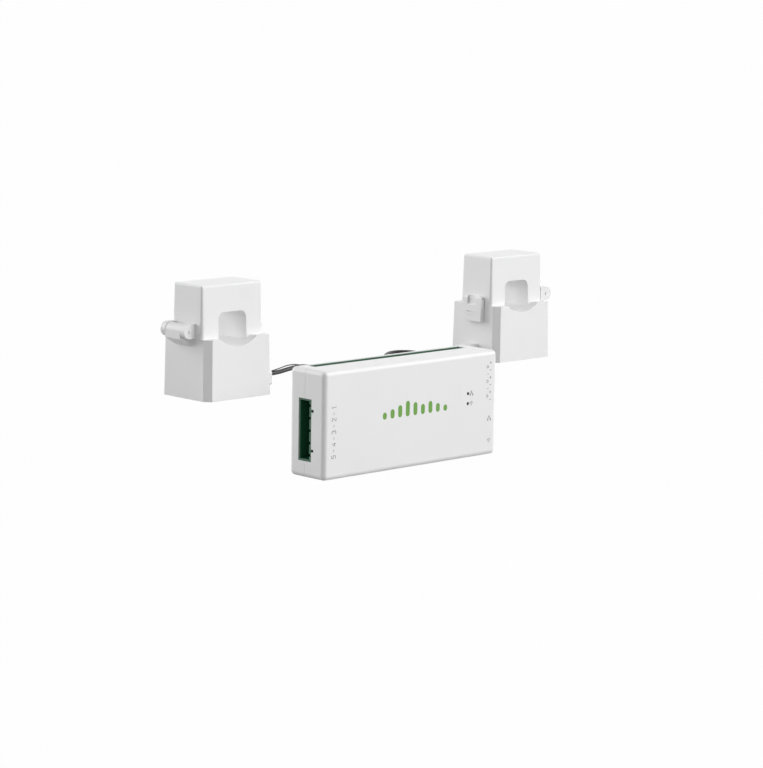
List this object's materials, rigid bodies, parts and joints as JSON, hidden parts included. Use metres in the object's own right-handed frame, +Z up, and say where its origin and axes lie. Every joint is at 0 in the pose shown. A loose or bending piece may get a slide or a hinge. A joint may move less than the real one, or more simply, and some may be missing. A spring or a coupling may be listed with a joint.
{
  "type": "smart energy monitor",
  "caption": "Flat energy monitor with pluggable terminal sockets, and split-core current clamps on coiled twisted leads; each clamp's cap hinges open round a conductor.",
  "frame": {"origin": "middle of the monitor's underside, on the floor", "axes": "+X to the monitor's right along its long side, +Y to its back, +Z up"},
  "size_m": [0.4941, 0.3461, 0.0814],
  "materials": {
    "case_plastic": "fine satin moulding, warm white",
    "clamp_plastic": "satin moulding, neutral white",
    "outlet_plastic": "satin moulding, neutral white",
    "circuit_board": "solder resist",
    "header_green": "satin moulding, dark green",
    "tinned_pins": "bright tin plate",
    "jack_steel": "bright nickel plate",
    "gold_contacts": "gold flash",
    "gold_brass": "gold plate, cut thread",
    "light_pipe": "smoked clear",
    "light_chip": "clear resin",
    "transformer": "ferrite with taped winding",
    "capacitor_sleeve": "shrink sleeve",
    "absorber_coat": "epoxy coat",
    "radio_can": "pressed can",
    "black_resin": "moulded resin",
    "screw_steel": "zinc plate",
    "pin_steel": "ground bright",
    "spring_steel": "rolled bright",
    "core_iron": "ground ferrite",
    "bobbin_plastic": "moulded",
    "copper_winding": "enamelled copper wire",
    "lead_cover": "a thick black wire with a thinner black one twisted loosely round it, glossy",
    "tie_plastic": "flat coated tie"
  },
  "bodies": {
    "root": {"front_shell": "case_plastic", "rear_shell": "case_plastic", "main_board": "circuit_board", "power_header": "header_green", "power_pins": "tinned_pins", "branch_header": "header_green", "branch_pins": "tinned_pins", "clamp_port_header": "header_green", "clamp_port_pins": "tinned_pins", "network_jack": "jack_steel", "network_contacts": "gold_contacts", "aerial_connector": "gold_brass", "light_pipes": "light_pipe", "status_lights": "light_chip", "supply_transformer": "transformer", "capacitors": "capacitor_sleeve", "surge_absorbers": "absorber_coat", "radio_module": "radio_can", "metering_chip": "black_resin", "sense_resistors": "black_resin", "case_screws": "screw_steel", "left_clamp_body": "clamp_plastic", "left_base_cover": "clamp_plastic", "left_lower_core": "core_iron", "left_bobbin": "bobbin_plastic", "left_winding": "copper_winding", "left_lead_outlet": "outlet_plastic", "left_hinge_pin": "pin_steel", "right_clamp_body": "clamp_plastic", "right_base_cover": "clamp_plastic", "right_lower_core": "core_iron", "right_bobbin": "bobbin_plastic", "right_winding": "copper_winding", "right_lead_outlet": "outlet_plastic", "right_hinge_pin": "pin_steel", "left_lead": "lead_cover", "left_lead_coil": "lead_cover", "left_coil_tie": "tie_plastic", "left_plug": "header_green", "right_lead": "lead_cover", "right_lead_coil": "lead_cover", "right_coil_tie": "tie_plastic", "right_plug": "header_green", "plug_screws": "screw_steel"},
    "left_cap_body": {"left_cap": "clamp_plastic", "left_upper_core": "core_iron", "left_core_spring": "spring_steel", "left_latch_pin": "pin_steel"},
    "left_latch_body": {"left_latch": "clamp_plastic"},
    "right_cap_body": {"right_cap": "clamp_plastic", "right_upper_core": "core_iron", "right_core_spring": "spring_steel", "right_latch_pin": "pin_steel"},
    "right_latch_body": {"right_latch": "clamp_plastic"}
  },
  "joints": [
    {"name": "left_cap_hinge", "type": "hinge", "parent": "root", "child": "left_cap_body", "pos_m": [0.0531, 0.272, 0.049], "axis": [0, -1, 0], "range_deg": [0, 100]},
    {"name": "left_latch_pivot", "type": "hinge", "parent": "left_cap_body", "child": "left_latch_body", "pos_m": [0.1177, 0.272, 0.0486], "axis": [0, -1, 0], "range_deg": [0, 10], "stiffness_Nm_per_rad": 0.05},
    {"name": "right_cap_hinge", "type": "hinge", "parent": "root", "child": "right_cap_body", "pos_m": [0.4144, 0.2745, 0.049], "axis": [0, 1, 0], "range_deg": [0, 100]},
    {"name": "right_latch_pivot", "type": "hinge", "parent": "right_cap_body", "child": "right_latch_body", "pos_m": [0.3498, 0.2745, 0.0486], "axis": [0, 1, 0], "range_deg": [0, 10], "stiffness_Nm_per_rad": 0.05}
  ]
}
